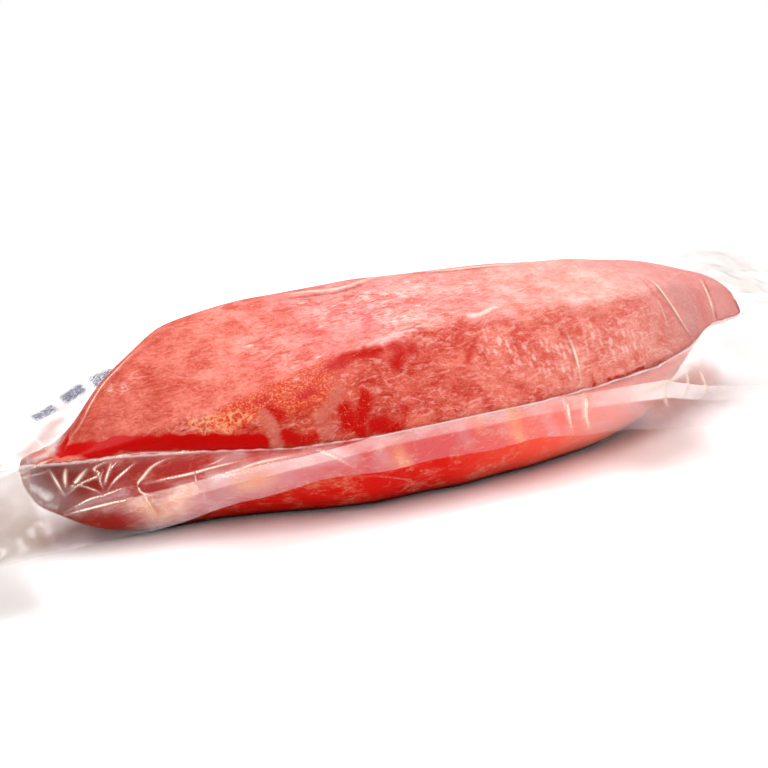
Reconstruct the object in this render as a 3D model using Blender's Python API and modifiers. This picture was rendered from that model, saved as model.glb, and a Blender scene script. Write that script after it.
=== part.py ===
"""A tuna fillet sealed in a clear vacuum bag: the fillet's spindle with its ridge, flank and
cut ends, and the flat margin of film that runs right round it and out past both ends.

Metres, +Z up. The origin is under the middle of the bag, on the surface that it lies on.
+X runs along the fillet to its thinner end, and -Y is the side with the tall flank.
"""

import math

import bmesh
import bpy
import numpy as np
from mathutils import Vector, noise

# The fillet
LOIN_LENGTH = 0.416
LOIN_MIDDLE_X = 0.017
SIDE_REACH = 0.060
CROWN_HEIGHT = 0.088
KEEL_CUT = 0.0025
MERGE_DISTANCE = 0.00015
SMOOTH_ANGLE = math.radians(40)
# Where the cage's rings stand, closer together at the blunt step and at the cut tip
STATION_SHARES = (0, 0.02, 0.045, 0.065, 0.1, 0.15, 0.22, 0.31, 0.4, 0.5, 0.6, 0.7, 0.78, 0.84,
                  0.885, 0.915, 0.94, 0.97, 1)
ROUNDING_LEVELS = 2
LUMP_DEPTH = 0.0011
LUMP_SIZE = 0.030

# The bag's margin
BAG_LENGTH = 0.560
BAG_WIDTH = 0.156
FILM_THICKNESS = 0.0016
CELLS_LONG = 64
CELLS_WIDE = 20
# The margin hangs a little more steeply towards its edge than at the fillet
DROOP_CURVE = 1.2
# Its waves: their height and length along the bag, how much of the height they have beside
# the fillet, how far past its ends they reach full height, and their turns across the bag
WAVE_DEPTH = 0.0022
WAVE_LENGTH = 0.055
SIDE_WAVE_SHARE = 0.4
WAVE_RISE = 0.05
WAVE_TURNS = 38.0
WAVE_PHASE = 0.6
WAVE_BEND = 2.0
WAVE_BEND_TURNS = 30.0

# Profiles along the fillet: each pair is (share of its length from the blunt end, value).
# Plan outline at the seam, as shares of the reach to each side
NEAR_EDGE = ((0, 0.36), (0.045, 0.48), (0.1, 0.58), (0.2, 0.72), (0.4, 1.0), (0.62, 1.0),
             (0.8, 0.88), (0.885, 0.58), (0.915, 0.42), (0.94, 0.34), (1, 0.24))
FAR_EDGE = ((0, 0.12), (0.06, 0.2), (0.12, 0.46), (0.22, 0.92), (0.32, 1.0), (0.5, 1.0),
            (0.72, 0.86), (0.9, 0.5), (1, 0.2))
# Heights above the resting surface, as shares of the crown's height
CROWN = ((0, 0.61), (0.045, 0.64), (0.065, 0.74), (0.1, 0.86), (0.15, 0.97), (0.22, 1.03),
         (0.5, 1.03), (0.7, 1.02), (0.78, 1.0), (0.84, 0.98), (0.885, 0.94), (0.94, 0.86),
         (0.97, 0.82), (1, 0.72))
KEEL = ((0, 0.36), (0.06, 0.16), (0.14, 0.0), (0.7, 0.0), (0.82, 0.06), (0.87, 0.2), (0.9, 0.4),
        (0.92, 0.52), (0.94, 0.56), (1, 0.57))
# How far the resting face stands in from the near seam, as a share of the width
UNDERCUT = ((0, 0.16), (0.1, 0.27), (0.2, 0.27), (0.3, 0.22), (0.4, 0.17), (0.6, 0.17),
            (0.8, 0.26), (1, 0.34))
# The ridge between the flank and the top: how far it stands in from the seam towards the
# crown's edge, and how far up
RIDGE_IN = ((0, 0.45), (0.045, 0.35), (0.1, 0.12), (0.2, 0.14), (0.31, 0.23), (0.4, 0.31),
            (0.5, 0.38), (0.8, 0.36), (0.9, 0.46), (1, 0.6))
RIDGE_UP = ((0, 0.5), (0.045, 0.4), (0.1, 0.3), (0.2, 0.4), (0.31, 0.58), (0.4, 0.80), (0.5, 0.89),
            (0.8, 0.88), (0.9, 0.84), (1, 0.84))
# The top's far edge, as a share of the way from the middle to the far seam, and the height of
# the far shoulder, as a share of the way from that seam up to the crown
CROWN_EDGE = ((0, -0.3), (0.045, -0.3), (0.065, -0.1), (0.1, 0.3), (0.2, 0.64), (0.35, 0.84),
              (0.5, 0.82), (0.8, 0.68), (1, 0.5))
FAR_SHOULDER = ((0, 0.2), (0.065, 0.3), (0.2, 0.6), (1, 0.6))
# How crisp each lengthwise edge of the cage stays, by its place in the ring
CREASES = {1: 0.4, 3: 0.5, 5: 0.6, 7: 0.3, 9: 0.4, 11: 0.3}

# Heights of the margin where it leaves the fillet on either side, and at its own two edges:
# each pair is (x, height)
NEAR_SEAM = ((-0.28, 0.022), (-0.23, 0.044), (-0.195, 0.0525), (-0.15, 0.0548), (-0.11, 0.0524),
             (-0.066, 0.0487), (-0.025, 0.0505), (0.1, 0.051), (0.142, 0.0534), (0.17, 0.053),
             (0.195, 0.056), (0.225, 0.055), (0.28, 0.046))
FAR_SEAM = ((-0.28, 0.018), (-0.23, 0.032), (-0.19, 0.038), (-0.165, 0.043), (-0.14, 0.048),
            (0.2, 0.048), (0.24, 0.052), (0.28, 0.046))
NEAR_DROOP = ((-0.28, 0.026), (-0.2, 0.035), (-0.15, 0.0353), (-0.108, 0.0394), (-0.066, 0.0428),
              (-0.025, 0.0404), (0.06, 0.0395), (0.1, 0.0347), (0.142, 0.0283), (0.171, 0.0238),
              (0.2, 0.0205), (0.28, 0.018))
FAR_DROOP = ((-0.28, 0.018), (-0.18, 0.028), (-0.16, 0.034), (-0.12, 0.052), (-0.05, 0.050),
             (0.0, 0.044), (0.17, 0.047), (0.25, 0.056), (0.28, 0.055))


def along(profile, place):
    """The profile's value at that place along it."""
    return float(np.interp(place, *zip(*profile)))


def middle_x(share):
    """The place along the bag at that share of the fillet's length."""
    return LOIN_MIDDLE_X + LOIN_LENGTH * (share - 0.5)


def section(share):
    """The cage's ring at one station, as (y, z) pairs: keel, flank, ridge, top and far side."""
    near = -SIDE_REACH * along(NEAR_EDGE, share)
    far = SIDE_REACH * along(FAR_EDGE, share)
    crown = CROWN_HEIGHT * along(CROWN, share)
    keel = CROWN_HEIGHT * along(KEEL, share) - KEEL_CUT
    undercut = along(UNDERCUT, share)
    seam = along(NEAR_SEAM, middle_x(share))
    far_seam = along(FAR_SEAM, middle_x(share))
    width = far - near
    crown_y = near + width * 0.5 + width * 0.5 * along(CROWN_EDGE, share)
    ridge_y = near + (crown_y - near) * along(RIDGE_IN, share)
    ridge_z = seam + (crown - seam) * along(RIDGE_UP, share)
    return [
        (near + width * 0.5, keel),
        (near + width * undercut, keel),
        (near + width * undercut * 0.36, (keel + seam) * 0.5),
        (near, seam),
        ((near + ridge_y) * 0.5 - 0.015 * width, (seam + ridge_z) * 0.5 + 0.015 * width),
        (ridge_y, ridge_z),
        ((ridge_y + crown_y) * 0.5, (ridge_z + crown) * 0.5 + 0.01 * width),
        (crown_y, crown),
        (far - width * 0.03, far_seam + (crown - far_seam) * along(FAR_SHOULDER, share)),
        (far, far_seam),
        (far - width * 0.05, (keel + far_seam) * 0.5),
        (far - width * 0.2, keel),
    ]


def solid(name, form):
    """An object made from the bmesh, its faces turned outward."""
    bmesh.ops.recalc_face_normals(form, faces=form.faces)
    mesh = bpy.data.meshes.new(name)
    form.to_mesh(mesh)
    form.free()
    body = bpy.data.objects.new(name, mesh)
    bpy.context.scene.collection.objects.link(body)
    return body


def settle(body):
    """Replaces the object's mesh with what its modifiers make of it."""
    shown = body.evaluated_get(bpy.context.evaluated_depsgraph_get())
    mesh = bpy.data.meshes.new_from_object(shown)
    body.modifiers.clear()
    body.data = mesh
    return body


def loin():
    """The fillet as a coarse cage of rings, rounded by subdivision and given soft lumps."""
    form = bmesh.new()
    rings = []
    for share in STATION_SHARES:
        rings.append([form.verts.new((middle_x(share), y, z)) for y, z in section(share)])
    for left, right in zip(rings, rings[1:]):
        for i, vertex in enumerate(left):
            j = (i + 1) % len(left)
            form.faces.new((vertex, left[j], right[j], right[i]))
    form.faces.new(rings[0])
    form.faces.new(rings[-1])
    crease = form.edges.layers.float.new("crease_edge")
    for left, right in zip(rings, rings[1:]):
        for place, sharpness in CREASES.items():
            form.edges.get((left[place], right[place]))[crease] = sharpness
    body = solid("fillet", form)
    rounding = body.modifiers.new("rounding", "SUBSURF")
    rounding.levels = rounding.render_levels = ROUNDING_LEVELS
    settle(body)
    for vertex in body.data.vertices:
        lump = noise.noise(Vector(vertex.co) / LUMP_SIZE)
        vertex.co += vertex.normal * lump * LUMP_DEPTH
    return body


def film_height(x, y):
    """The height of the margin's middle layer over that spot of the surface."""
    share = (x - LOIN_MIDDLE_X) / LOIN_LENGTH + 0.5
    near = -SIDE_REACH * along(NEAR_EDGE, share)
    far = SIDE_REACH * along(FAR_EDGE, share)
    across = min(max((y - near) / (far - near), 0.0), 1.0)
    seam = along(NEAR_SEAM, x) * (1 - across) + along(FAR_SEAM, x) * across
    end = along(NEAR_DROOP if y < near else FAR_DROOP, x)
    out = max(near - y, y - far, 0.0) / (BAG_WIDTH / 2 - max(-near if y < near else far, 0.0))
    out = min(out, 1.0)
    beyond = min(max(-share, share - 1.0, 0.0) * LOIN_LENGTH / WAVE_RISE, 1.0)
    bend = WAVE_BEND * math.sin(y * WAVE_BEND_TURNS)
    wave = math.sin(x * math.tau / WAVE_LENGTH + bend) * math.cos(y * WAVE_TURNS + WAVE_PHASE)
    depth = WAVE_DEPTH * (SIDE_WAVE_SHARE * out + beyond)
    return seam + (end - seam) * out ** DROOP_CURVE + depth * wave


def margin():
    """The two layers of film sealed together round the fillet, as one thin wavy slab."""
    form = bmesh.new()
    bmesh.ops.create_grid(form, x_segments=CELLS_LONG, y_segments=CELLS_WIDE, size=0.5)
    for vertex in form.verts:
        x = vertex.co.x * BAG_LENGTH
        y = vertex.co.y * BAG_WIDTH
        vertex.co = (x, y, film_height(x, y) - FILM_THICKNESS / 2)
    raised = bmesh.ops.extrude_face_region(form, geom=form.faces[:], use_keep_orig=True)["geom"]
    top = [item for item in raised if isinstance(item, bmesh.types.BMVert)]
    bmesh.ops.translate(form, verts=top, vec=(0, 0, FILM_THICKNESS))
    return solid("margin", form)


def cut_flat(body):
    """Cuts the keel off at the surface, so that the bag rests on a flat spot."""
    form = bmesh.new()
    form.from_mesh(body.data)
    bmesh.ops.remove_doubles(form, verts=form.verts, dist=MERGE_DISTANCE)
    everything = [*form.verts, *form.edges, *form.faces]
    cut = bmesh.ops.bisect_plane(form, geom=everything, dist=1e-6, plane_co=(0, 0, 0),
                                 plane_no=(0, 0, 1), clear_inner=True)
    rim = [edge for edge in cut["geom_cut"] if isinstance(edge, bmesh.types.BMEdge)]
    bmesh.ops.holes_fill(form, edges=rim, sides=0)
    bmesh.ops.remove_doubles(form, verts=form.verts, dist=MERGE_DISTANCE)
    bmesh.ops.recalc_face_normals(form, faces=form.faces)
    form.to_mesh(body.data)
    form.free()


def film():
    """Clear bag film over dark red flesh, the one material of the closed solid."""
    material = bpy.data.materials.new("vacuum_film_over_tuna")
    material.use_nodes = True
    surface = material.node_tree.nodes["Principled BSDF"]
    surface.inputs["Base Color"].default_value = (0.45, 0.09, 0.07, 1)
    surface.inputs["Roughness"].default_value = 0.3
    return material


def main():
    for old in list(bpy.data.objects):
        bpy.data.objects.remove(old)
    pack = loin()
    web = margin()
    join = pack.modifiers.new("join", "BOOLEAN")
    join.operation = "UNION"
    join.solver = "EXACT"
    join.object = web
    settle(pack)
    bpy.data.objects.remove(web)
    cut_flat(pack)
    pack.name = pack.data.name = "tuna_fillet_pack"
    pack.data.shade_smooth()
    pack.data.set_sharp_from_angle(angle=SMOOTH_ANGLE)
    pack.data.materials.clear()
    pack.data.materials.append(film())
    kept = bpy.data.collections.new("tuna_fillet")
    bpy.context.scene.collection.children.link(kept)
    bpy.context.scene.collection.objects.unlink(pack)
    kept.objects.link(pack)


if __name__ == "__main__":
    main()
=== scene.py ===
# Looks of a tuna fillet in its vacuum bag: raw flesh, clear film drawn tight over it, the flat
# sealed margin with its loose ends, the folds pressed into the film, and a printed field.
import math

import bpy
import numpy as np
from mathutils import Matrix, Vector, noise
from mathutils.bvhtree import BVHTree
from mathutils.kdtree import KDTree


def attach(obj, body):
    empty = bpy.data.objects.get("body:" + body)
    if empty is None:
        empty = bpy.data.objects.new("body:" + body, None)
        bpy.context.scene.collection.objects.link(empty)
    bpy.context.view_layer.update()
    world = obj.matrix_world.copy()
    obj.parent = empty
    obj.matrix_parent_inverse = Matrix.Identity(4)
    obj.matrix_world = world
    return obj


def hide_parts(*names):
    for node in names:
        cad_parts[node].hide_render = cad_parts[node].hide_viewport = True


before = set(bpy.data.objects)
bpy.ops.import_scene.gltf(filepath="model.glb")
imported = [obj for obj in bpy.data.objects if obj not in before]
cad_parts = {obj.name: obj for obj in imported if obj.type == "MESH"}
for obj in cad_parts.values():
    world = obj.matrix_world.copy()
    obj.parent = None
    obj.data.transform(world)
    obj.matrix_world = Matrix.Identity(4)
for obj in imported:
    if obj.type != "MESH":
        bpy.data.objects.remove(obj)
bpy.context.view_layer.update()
print("frame loaded:", sorted(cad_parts))


def linear(hexCode):  # an sRGB hex colour as the linear values that shader sockets take
    parts = [int(hexCode[i:i + 2], 16) / 255 for i in (0, 2, 4)]
    return tuple(p / 12.92 if p < 0.04045 else ((p + 0.055) / 1.055) ** 2.4 for p in parts) + (1.0,)


def addNode(tree, kind, inputs=None, **settings):
    node = tree.nodes.new(kind)
    for name, value in settings.items():
        setattr(node, name, value)
    for socket, value in (inputs or {}).items():
        if isinstance(value, bpy.types.NodeSocket):
            tree.links.new(value, node.inputs[socket])
        else:
            node.inputs[socket].default_value = value
    return node


def along(profile, place):  # the value of a list of (place, value) pairs at that place
    return float(np.interp(place, *zip(*profile)))


def easeStep(low, high, value):
    share = min(max((value - low) / (high - low), 0.0), 1.0)
    return share * share * (3 - 2 * share)


def setLayer(piece, name, values, domain="POINT"):  # one number for each vertex or edge
    layer = piece.data.attributes.new(name, "FLOAT", domain)
    layer.data.foreach_set("value", np.asarray(values, dtype=np.float32))


def getLayer(piece, name):
    layer = piece.data.attributes[name]
    values = np.zeros(len(layer.data), dtype=np.float32)
    layer.data.foreach_get("value", values)
    return values


def selectNothing():
    if bpy.context.object and bpy.context.object.mode != "OBJECT":
        bpy.ops.object.mode_set(mode="OBJECT")
    bpy.ops.object.select_all(action="DESELECT")


def applyModifier(piece, kind, **settings):
    modifier = piece.modifiers.new(kind.lower(), kind)
    for name, value in settings.items():
        setattr(modifier, name, value)
    selectNothing()
    piece.select_set(True)
    bpy.context.view_layer.objects.active = piece
    bpy.ops.object.modifier_apply(modifier=modifier.name)


# Camera: the photograph looks along the pack from its blunt end, a little from above
viewpoint = dict(azimuth=-25, elevation=25, distance=1.0, lens=89, sensor=36, pixels=768,
                 target=(0.006, 0.0, 0.047))

azimuth, elevation = math.radians(viewpoint["azimuth"]), math.radians(viewpoint["elevation"])
viewBack = Vector((math.sin(azimuth) * math.cos(elevation),
                   -math.cos(azimuth) * math.cos(elevation), math.sin(elevation)))
viewRight = Vector((math.cos(azimuth), math.sin(azimuth), 0))
viewUp = viewBack.cross(viewRight)
eye = Vector(viewpoint["target"]) + viewBack * viewpoint["distance"]
selectNothing()
bpy.ops.object.camera_add(location=eye, rotation=(-viewBack).to_track_quat("-Z", "Y").to_euler())
camera = bpy.context.object
camera.data.lens = viewpoint["lens"]
camera.data.sensor_width = viewpoint["sensor"]
bpy.context.scene.camera = camera


def pixelRay(px, py):  # the direction in which the camera sees that pixel of the photograph
    focal = viewpoint["lens"] / viewpoint["sensor"] * viewpoint["pixels"]
    middle = viewpoint["pixels"] / 2
    return ((px - middle) * viewRight + (middle - py) * viewUp - focal * viewBack).normalized()


print("camera set")

# The fillet: profiles are (share of its length from the blunt end, value)
fillet = dict(
    length=0.416, middle=0.017, sideReach=0.060, crownHeight=0.088, keelCut=0.0025, sides=12,
    stations=(0, 0.02, 0.045, 0.065, 0.1, 0.15, 0.22, 0.31, 0.4, 0.5, 0.6, 0.7, 0.78, 0.84, 0.885,
              0.915, 0.94, 0.97, 1),
    roundingLevels=4, lumpDepth=0.0011, lumpSize=0.030, fleshFloor=0.0006,
    undercutBend=0.36, flankSwell=0.015, topSwell=0.01, farTopIn=0.03, farUnderIn=0.05, farKeelIn=0.2,
    nearEdge=((0, 0.36), (0.045, 0.48), (0.1, 0.58), (0.2, 0.72), (0.4, 1.0), (0.62, 1.0),
              (0.8, 0.88), (0.885, 0.58), (0.915, 0.42), (0.94, 0.34), (1, 0.24)),
    farEdge=((0, 0.12), (0.06, 0.2), (0.12, 0.46), (0.22, 0.92), (0.32, 1.0), (0.5, 1.0),
             (0.72, 0.86), (0.9, 0.5), (1, 0.2)),
    crown=((0, 0.61), (0.045, 0.64), (0.065, 0.74), (0.1, 0.86), (0.15, 0.97), (0.22, 1.03),
           (0.5, 1.03), (0.7, 1.02), (0.78, 1.0), (0.84, 0.98), (0.885, 0.94), (0.94, 0.86),
           (0.97, 0.82), (1, 0.72)),
    keel=((0, 0.36), (0.06, 0.16), (0.14, 0.0), (0.7, 0.0), (0.82, 0.06), (0.87, 0.2),
          (0.9, 0.4), (0.92, 0.52), (0.94, 0.56), (1, 0.57)),
    undercut=((0, 0.16), (0.1, 0.27), (0.2, 0.27), (0.3, 0.22), (0.4, 0.17), (0.6, 0.17),
              (0.8, 0.26), (1, 0.34)),
    ridgeIn=((0, 0.45), (0.045, 0.35), (0.1, 0.12), (0.2, 0.14), (0.31, 0.23), (0.4, 0.31),
             (0.5, 0.38), (0.8, 0.36), (0.9, 0.46), (1, 0.6)),
    ridgeUp=((0, 0.5), (0.045, 0.4), (0.1, 0.3), (0.2, 0.4), (0.31, 0.58), (0.4, 0.80), (0.5, 0.89),
             (0.8, 0.88), (0.9, 0.84), (1, 0.84)),
    crownEdge=((0, -0.3), (0.045, -0.3), (0.065, -0.1), (0.1, 0.3), (0.2, 0.64), (0.35, 0.84),
               (0.5, 0.82), (0.8, 0.68), (1, 0.5)),
    farShoulder=((0, 0.2), (0.065, 0.3), (0.2, 0.6), (1, 0.6)),
    creases={1: 0.4, 3: 0.5, 5: 0.6, 7: 0.3, 9: 0.4, 11: 0.3},
)

# The flat sealed margin and the loose film past both ends: heights are (x, height) pairs
margin = dict(
    length=0.560, width=0.156, thickness=0.0004, cellsLong=300, cellsWide=84, reachIn=0.004,
    dipIn=0.9, fallIn=40, openShares=(0.015, 0.985), droopCurve=1.2,
    waveDepth=0.0022, waveLength=0.055, sideWaveShare=0.4, waveRise=0.05, waveTurns=38.0,
    wavePhase=0.6, waveBend=2.0, waveBendTurns=30.0,
    crumpleDepth=0.0045, crumpleSize=0.022, sideCrumple=0.10, crumpleSlice=0.3, crumpleLevel=0.45,
    fineCrumple=0.5, fineScale=2.3,
    nearSeam=((-0.28, 0.022), (-0.23, 0.044), (-0.195, 0.0525), (-0.15, 0.0548), (-0.11, 0.0524),
              (-0.066, 0.0487), (-0.025, 0.0505), (0.1, 0.051), (0.142, 0.0534), (0.17, 0.053),
              (0.195, 0.056), (0.225, 0.055), (0.28, 0.046)),
    farSeam=((-0.28, 0.018), (-0.23, 0.032), (-0.19, 0.038), (-0.165, 0.043), (-0.14, 0.048),
             (0.2, 0.048), (0.24, 0.052), (0.28, 0.046)),
    nearDroop=((-0.28, 0.026), (-0.2, 0.035), (-0.15, 0.0353), (-0.108, 0.0394), (-0.066, 0.0428),
               (-0.025, 0.0404), (0.06, 0.0395), (0.1, 0.0347), (0.142, 0.0283), (0.171, 0.0238),
               (0.2, 0.0205), (0.28, 0.018)),
    farDroop=((-0.28, 0.018), (-0.18, 0.028), (-0.16, 0.034), (-0.12, 0.052), (-0.05, 0.050),
              (0.0, 0.044), (0.17, 0.047), (0.25, 0.056), (0.28, 0.055)),
)


def shareOf(x):
    return (x - fillet["middle"]) / fillet["length"] + 0.5


def placeOf(share):
    return fillet["middle"] + fillet["length"] * (share - 0.5)


def ringedCylinder(name, sides, stations):  # a cylinder along X with a ring at every whole X
    selectNothing()
    bpy.ops.mesh.primitive_cylinder_add(vertices=sides, radius=1, depth=stations - 1,
                                        rotation=(0, math.pi / 2, 0))
    piece = bpy.context.object
    piece.name = piece.data.name = name
    bpy.ops.object.transform_apply(location=True, rotation=True, scale=True)
    bpy.ops.object.mode_set(mode="EDIT")
    bpy.ops.mesh.select_mode(type="EDGE")
    bpy.ops.mesh.select_all(action="DESELECT")
    bpy.ops.object.mode_set(mode="OBJECT")
    for edge in piece.data.edges:
        ends = [piece.data.vertices[i].co.x for i in edge.vertices]
        edge.select = abs(ends[0] - ends[1]) > 0.5
    bpy.ops.object.mode_set(mode="EDIT")
    bpy.ops.mesh.subdivide(number_cuts=stations - 2)
    bpy.ops.object.mode_set(mode="OBJECT")
    return piece


def ringPlace(vertex, sides, stations):  # which ring, and which place in it, counted from below
    angle = math.atan2(-vertex.co.y, -vertex.co.z) % math.tau
    return round(vertex.co.x + (stations - 1) / 2), round(angle / math.tau * sides) % sides


def filletSection(share):  # keel, near flank, ridge, top and far side, as (y, z) pairs
    near = -fillet["sideReach"] * along(fillet["nearEdge"], share)
    far = fillet["sideReach"] * along(fillet["farEdge"], share)
    crown = fillet["crownHeight"] * along(fillet["crown"], share)
    keel = fillet["crownHeight"] * along(fillet["keel"], share) - fillet["keelCut"]
    undercut = along(fillet["undercut"], share)
    seam = along(margin["nearSeam"], placeOf(share))
    farSeam = along(margin["farSeam"], placeOf(share))
    width = far - near
    crownY = near + width * 0.5 + width * 0.5 * along(fillet["crownEdge"], share)
    ridgeY = near + (crownY - near) * along(fillet["ridgeIn"], share)
    ridgeZ = seam + (crown - seam) * along(fillet["ridgeUp"], share)
    swell = fillet["flankSwell"] * width
    farShoulder = along(fillet["farShoulder"], share)
    return [
        (near + width * 0.5, keel),
        (near + width * undercut, keel),
        (near + width * undercut * fillet["undercutBend"], (keel + seam) * 0.5),
        (near, seam),
        ((near + ridgeY) * 0.5 - swell, (seam + ridgeZ) * 0.5 + swell),
        (ridgeY, ridgeZ),
        ((ridgeY + crownY) * 0.5, (ridgeZ + crown) * 0.5 + fillet["topSwell"] * width),
        (crownY, crown),
        (far - width * fillet["farTopIn"], farSeam + (crown - farSeam) * farShoulder),
        (far, farSeam),
        (far - width * fillet["farUnderIn"], (keel + farSeam) * 0.5),
        (far - width * fillet["farKeelIn"], keel),
    ]


def makeFilletForm(name):
    sides, stations = fillet["sides"], len(fillet["stations"])
    piece = ringedCylinder(name, sides, stations)
    mesh = piece.data
    places = [ringPlace(v, sides, stations) for v in mesh.vertices]
    rings = [filletSection(share) for share in fillet["stations"]]
    for vertex, (station, place) in zip(mesh.vertices, places):
        vertex.co = (placeOf(fillet["stations"][station]), *rings[station][place])
    creases = []
    for edge in mesh.edges:
        (ringA, placeA), (ringB, placeB) = (places[i] for i in edge.vertices)
        lengthwise = placeA == placeB and ringA != ringB
        creases.append(fillet["creases"].get(placeA, 0) if lengthwise else 0)
    setLayer(piece, "crease_edge", creases, "EDGE")
    setLayer(piece, "around", [place for station, place in places])
    applyModifier(piece, "SUBSURF", levels=fillet["roundingLevels"], render_levels=fillet["roundingLevels"])
    mesh = piece.data
    normals = [v.normal.copy() for v in mesh.vertices]
    for vertex, normal in zip(mesh.vertices, normals):
        vertex.co += normal * noise.noise(vertex.co / fillet["lumpSize"]) * fillet["lumpDepth"]
        vertex.co.z = max(vertex.co.z, fillet["fleshFloor"])
    return piece


def treeOf(piece):
    return BVHTree.FromPolygons([v.co.copy() for v in piece.data.vertices],
                                [p.vertices[:] for p in piece.data.polygons])


flesh = makeFilletForm("tuna_flesh")
fleshTree = treeOf(flesh)
print("flesh form made,", len(flesh.data.polygons), "faces")

# The film drawn tight over the flesh. It stands off a little, and more where it bridges a hollow:
# each bridge is (from share, to share, from place round the fillet, to place, height in mm)
skin = dict(standOff=0.0005, rippleDepth=0.00022, rippleSize=0.006, footOff=0.0003, footReach=0.0002,
            bridges=[(0.10, 0.56, 6.1, 8.0, 2.2), (0.02, 0.2, 6.2, 9.0, 3.2),
                     (0.5, 0.9, 6.6, 8.4, 1.4)])


def makeFilmSkin():
    piece = makeFilletForm("film_skin")
    mesh = piece.data
    around = getLayer(piece, "around")
    normals = [v.normal.copy() for v in mesh.vertices]
    for vertex, normal, place in zip(mesh.vertices, normals, around):
        share = shareOf(vertex.co.x)
        lift = skin["standOff"] + noise.noise(vertex.co / skin["rippleSize"]) * skin["rippleDepth"]
        for shareA, shareB, placeA, placeB, height in skin["bridges"]:
            lengthwise = min(max((share - shareA) / (shareB - shareA), 0), 1)
            across = min(max((place - placeA) / (placeB - placeA), 0), 1)
            lift += height * 0.001 * math.sin(math.pi * lengthwise) * math.sin(math.pi * across)
        onFloor = vertex.co.z < fillet["fleshFloor"] + skin["footReach"]
        vertex.co += normal * lift
        vertex.co.z = skin["footOff"] if onFloor else max(vertex.co.z, skin["footOff"])
    return piece


filmSkin = makeFilmSkin()
skinTree = treeOf(filmSkin)
print("film skin made")


def nearReach(x):
    return -fillet["sideReach"] * along(fillet["nearEdge"], shareOf(x))


def farReach(x):
    return fillet["sideReach"] * along(fillet["farEdge"], shareOf(x))


def marginOut(x, y):  # 0 where the margin leaves the fillet, 1 at the bag's edge
    near, far = nearReach(x), farReach(x)
    reach = -near if y < near else far
    return min(max(near - y, y - far, 0.0) / (margin["width"] / 2 - reach), 1.0)


def insideBy(x, y):  # how far the margin runs on under the skin of the fillet's side
    if not 0.0 < shareOf(x) < 1.0:
        return 0.0
    return min(max(min(y - nearReach(x), farReach(x) - y), 0.0), margin["reachIn"])


def pastEnd(x):  # 0 beside the fillet, rising to 1 on the loose film past its ends
    share = shareOf(x)
    return min(max(-share, share - 1.0, 0.0) * fillet["length"] / margin["waveRise"], 1.0)


def filmHeight(x, y):
    near, far = nearReach(x), farReach(x)
    across = min(max((y - near) / (far - near), 0.0), 1.0)
    seam = along(margin["nearSeam"], x) * (1 - across) + along(margin["farSeam"], x) * across
    seam -= margin["dipIn"] * insideBy(x, y)
    end = along(margin["nearDroop"] if y < near else margin["farDroop"], x)
    out, beyond = marginOut(x, y), pastEnd(x)
    bend = margin["waveBend"] * math.sin(y * margin["waveBendTurns"])
    wave = math.sin(x * math.tau / margin["waveLength"] + bend)
    wave *= math.cos(y * margin["waveTurns"] + margin["wavePhase"])
    height = seam + (end - seam) * out ** margin["droopCurve"]
    height += margin["waveDepth"] * (margin["sideWaveShare"] * out + beyond) * wave
    spot = Vector((x, y, margin["crumpleSlice"])) / margin["crumpleSize"]
    fine = margin["fineCrumple"] * abs(noise.noise(spot * margin["fineScale"]))
    crumple = margin["crumpleLevel"] - abs(noise.noise(spot)) - fine
    return height + margin["crumpleDepth"] * crumple * (margin["sideCrumple"] * out + beyond)


def makeMargin():
    selectNothing()
    bpy.ops.mesh.primitive_grid_add(x_subdivisions=margin["cellsLong"],
                                    y_subdivisions=margin["cellsWide"], size=1)
    piece = bpy.context.object
    piece.name = piece.data.name = "film_margin"
    mesh = piece.data
    for vertex in mesh.vertices:
        x, y = vertex.co.x * margin["length"], vertex.co.y * margin["width"]
        vertex.co = (x, y, filmHeight(x, y))
    bpy.ops.object.mode_set(mode="EDIT")
    bpy.ops.mesh.select_mode(type="FACE")
    bpy.ops.mesh.select_all(action="DESELECT")
    bpy.ops.object.mode_set(mode="OBJECT")
    for face in mesh.polygons:
        x, y, z = face.center
        clear = margin["reachIn"]
        inside = margin["openShares"][0] < shareOf(x) < margin["openShares"][1]
        face.select = inside and nearReach(x) + clear < y < farReach(x) - clear
    bpy.ops.object.mode_set(mode="EDIT")
    bpy.ops.mesh.delete(type="FACE")
    bpy.ops.object.mode_set(mode="OBJECT")
    return piece


filmMargin = makeMargin()
marginTree = treeOf(filmMargin)
print("film margin made,", len(filmMargin.data.polygons), "faces")

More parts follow.
